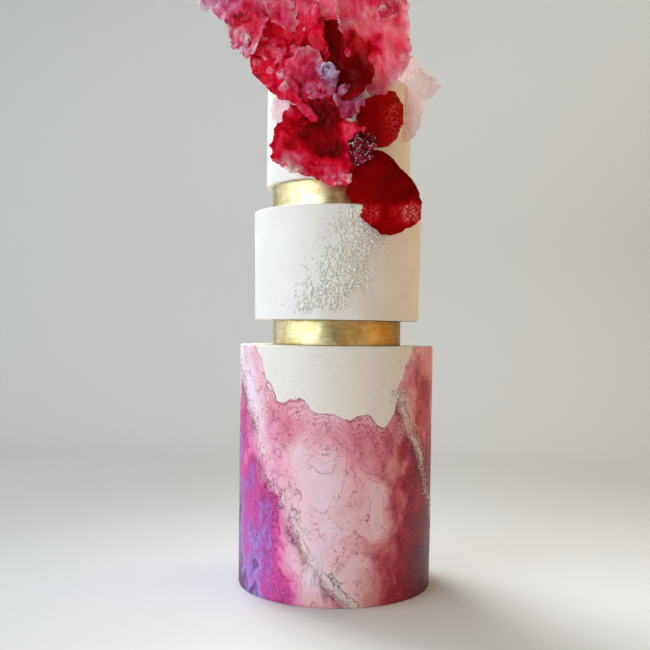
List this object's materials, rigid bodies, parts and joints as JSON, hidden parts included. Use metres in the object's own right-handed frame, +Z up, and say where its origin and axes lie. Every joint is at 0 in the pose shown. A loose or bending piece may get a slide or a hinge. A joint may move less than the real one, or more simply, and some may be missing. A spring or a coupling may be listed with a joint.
{
  "type": "tiered wedding cake",
  "caption": "Tall round tiered cake on gilded spacers, with pink marbled icing below, white tiers above and a cascade of thin red and pink sugar sails over its top and front.",
  "frame": {"origin": "centre of the bottom tier's flat base, on the surface that the cake stands on", "axes": "+Z up through the tiers, -Y towards the viewer of the decorated front, +X to the viewer's right"},
  "size_m": [0.2551, 0.204, 0.6607],
  "materials": {
    "white_icing": "smooth matte icing",
    "pink_marbled_icing": "satin icing with poured colour and sugar veins",
    "gold_leaf": "brushed gold leaf",
    "crimson_sugar": "translucent glossy sugar",
    "ruby_sugar": "dark translucent glossy sugar",
    "rose_sugar": "translucent bubbled sugar",
    "lilac_sugar": "translucent crumpled sugar",
    "blush_sugar": "very pale translucent sugar"
  },
  "bodies": {
    "root": {"bottom_tier": "pink_marbled_icing", "lower_spacer": "gold_leaf", "middle_tier": "white_icing", "upper_spacer": "gold_leaf", "top_tier": "white_icing", "crimson_sail": "crimson_sugar", "rose_sail": "rose_sugar", "ruby_blade": "ruby_sugar", "ruby_shell": "crimson_sugar", "deep_red_sail": "ruby_sugar", "pink_crest": "rose_sugar", "mauve_sail": "lilac_sugar", "blush_veil": "blush_sugar", "ruby_disc": "ruby_sugar", "lilac_frill": "lilac_sugar", "pearl_veil": "blush_sugar", "crimson_curl": "crimson_sugar", "lavender_crumple": "lilac_sugar", "lavender_curl": "lilac_sugar", "blush_sliver": "blush_sugar", "sugared_fold": "rose_sugar"}
  },
  "joints": []
}
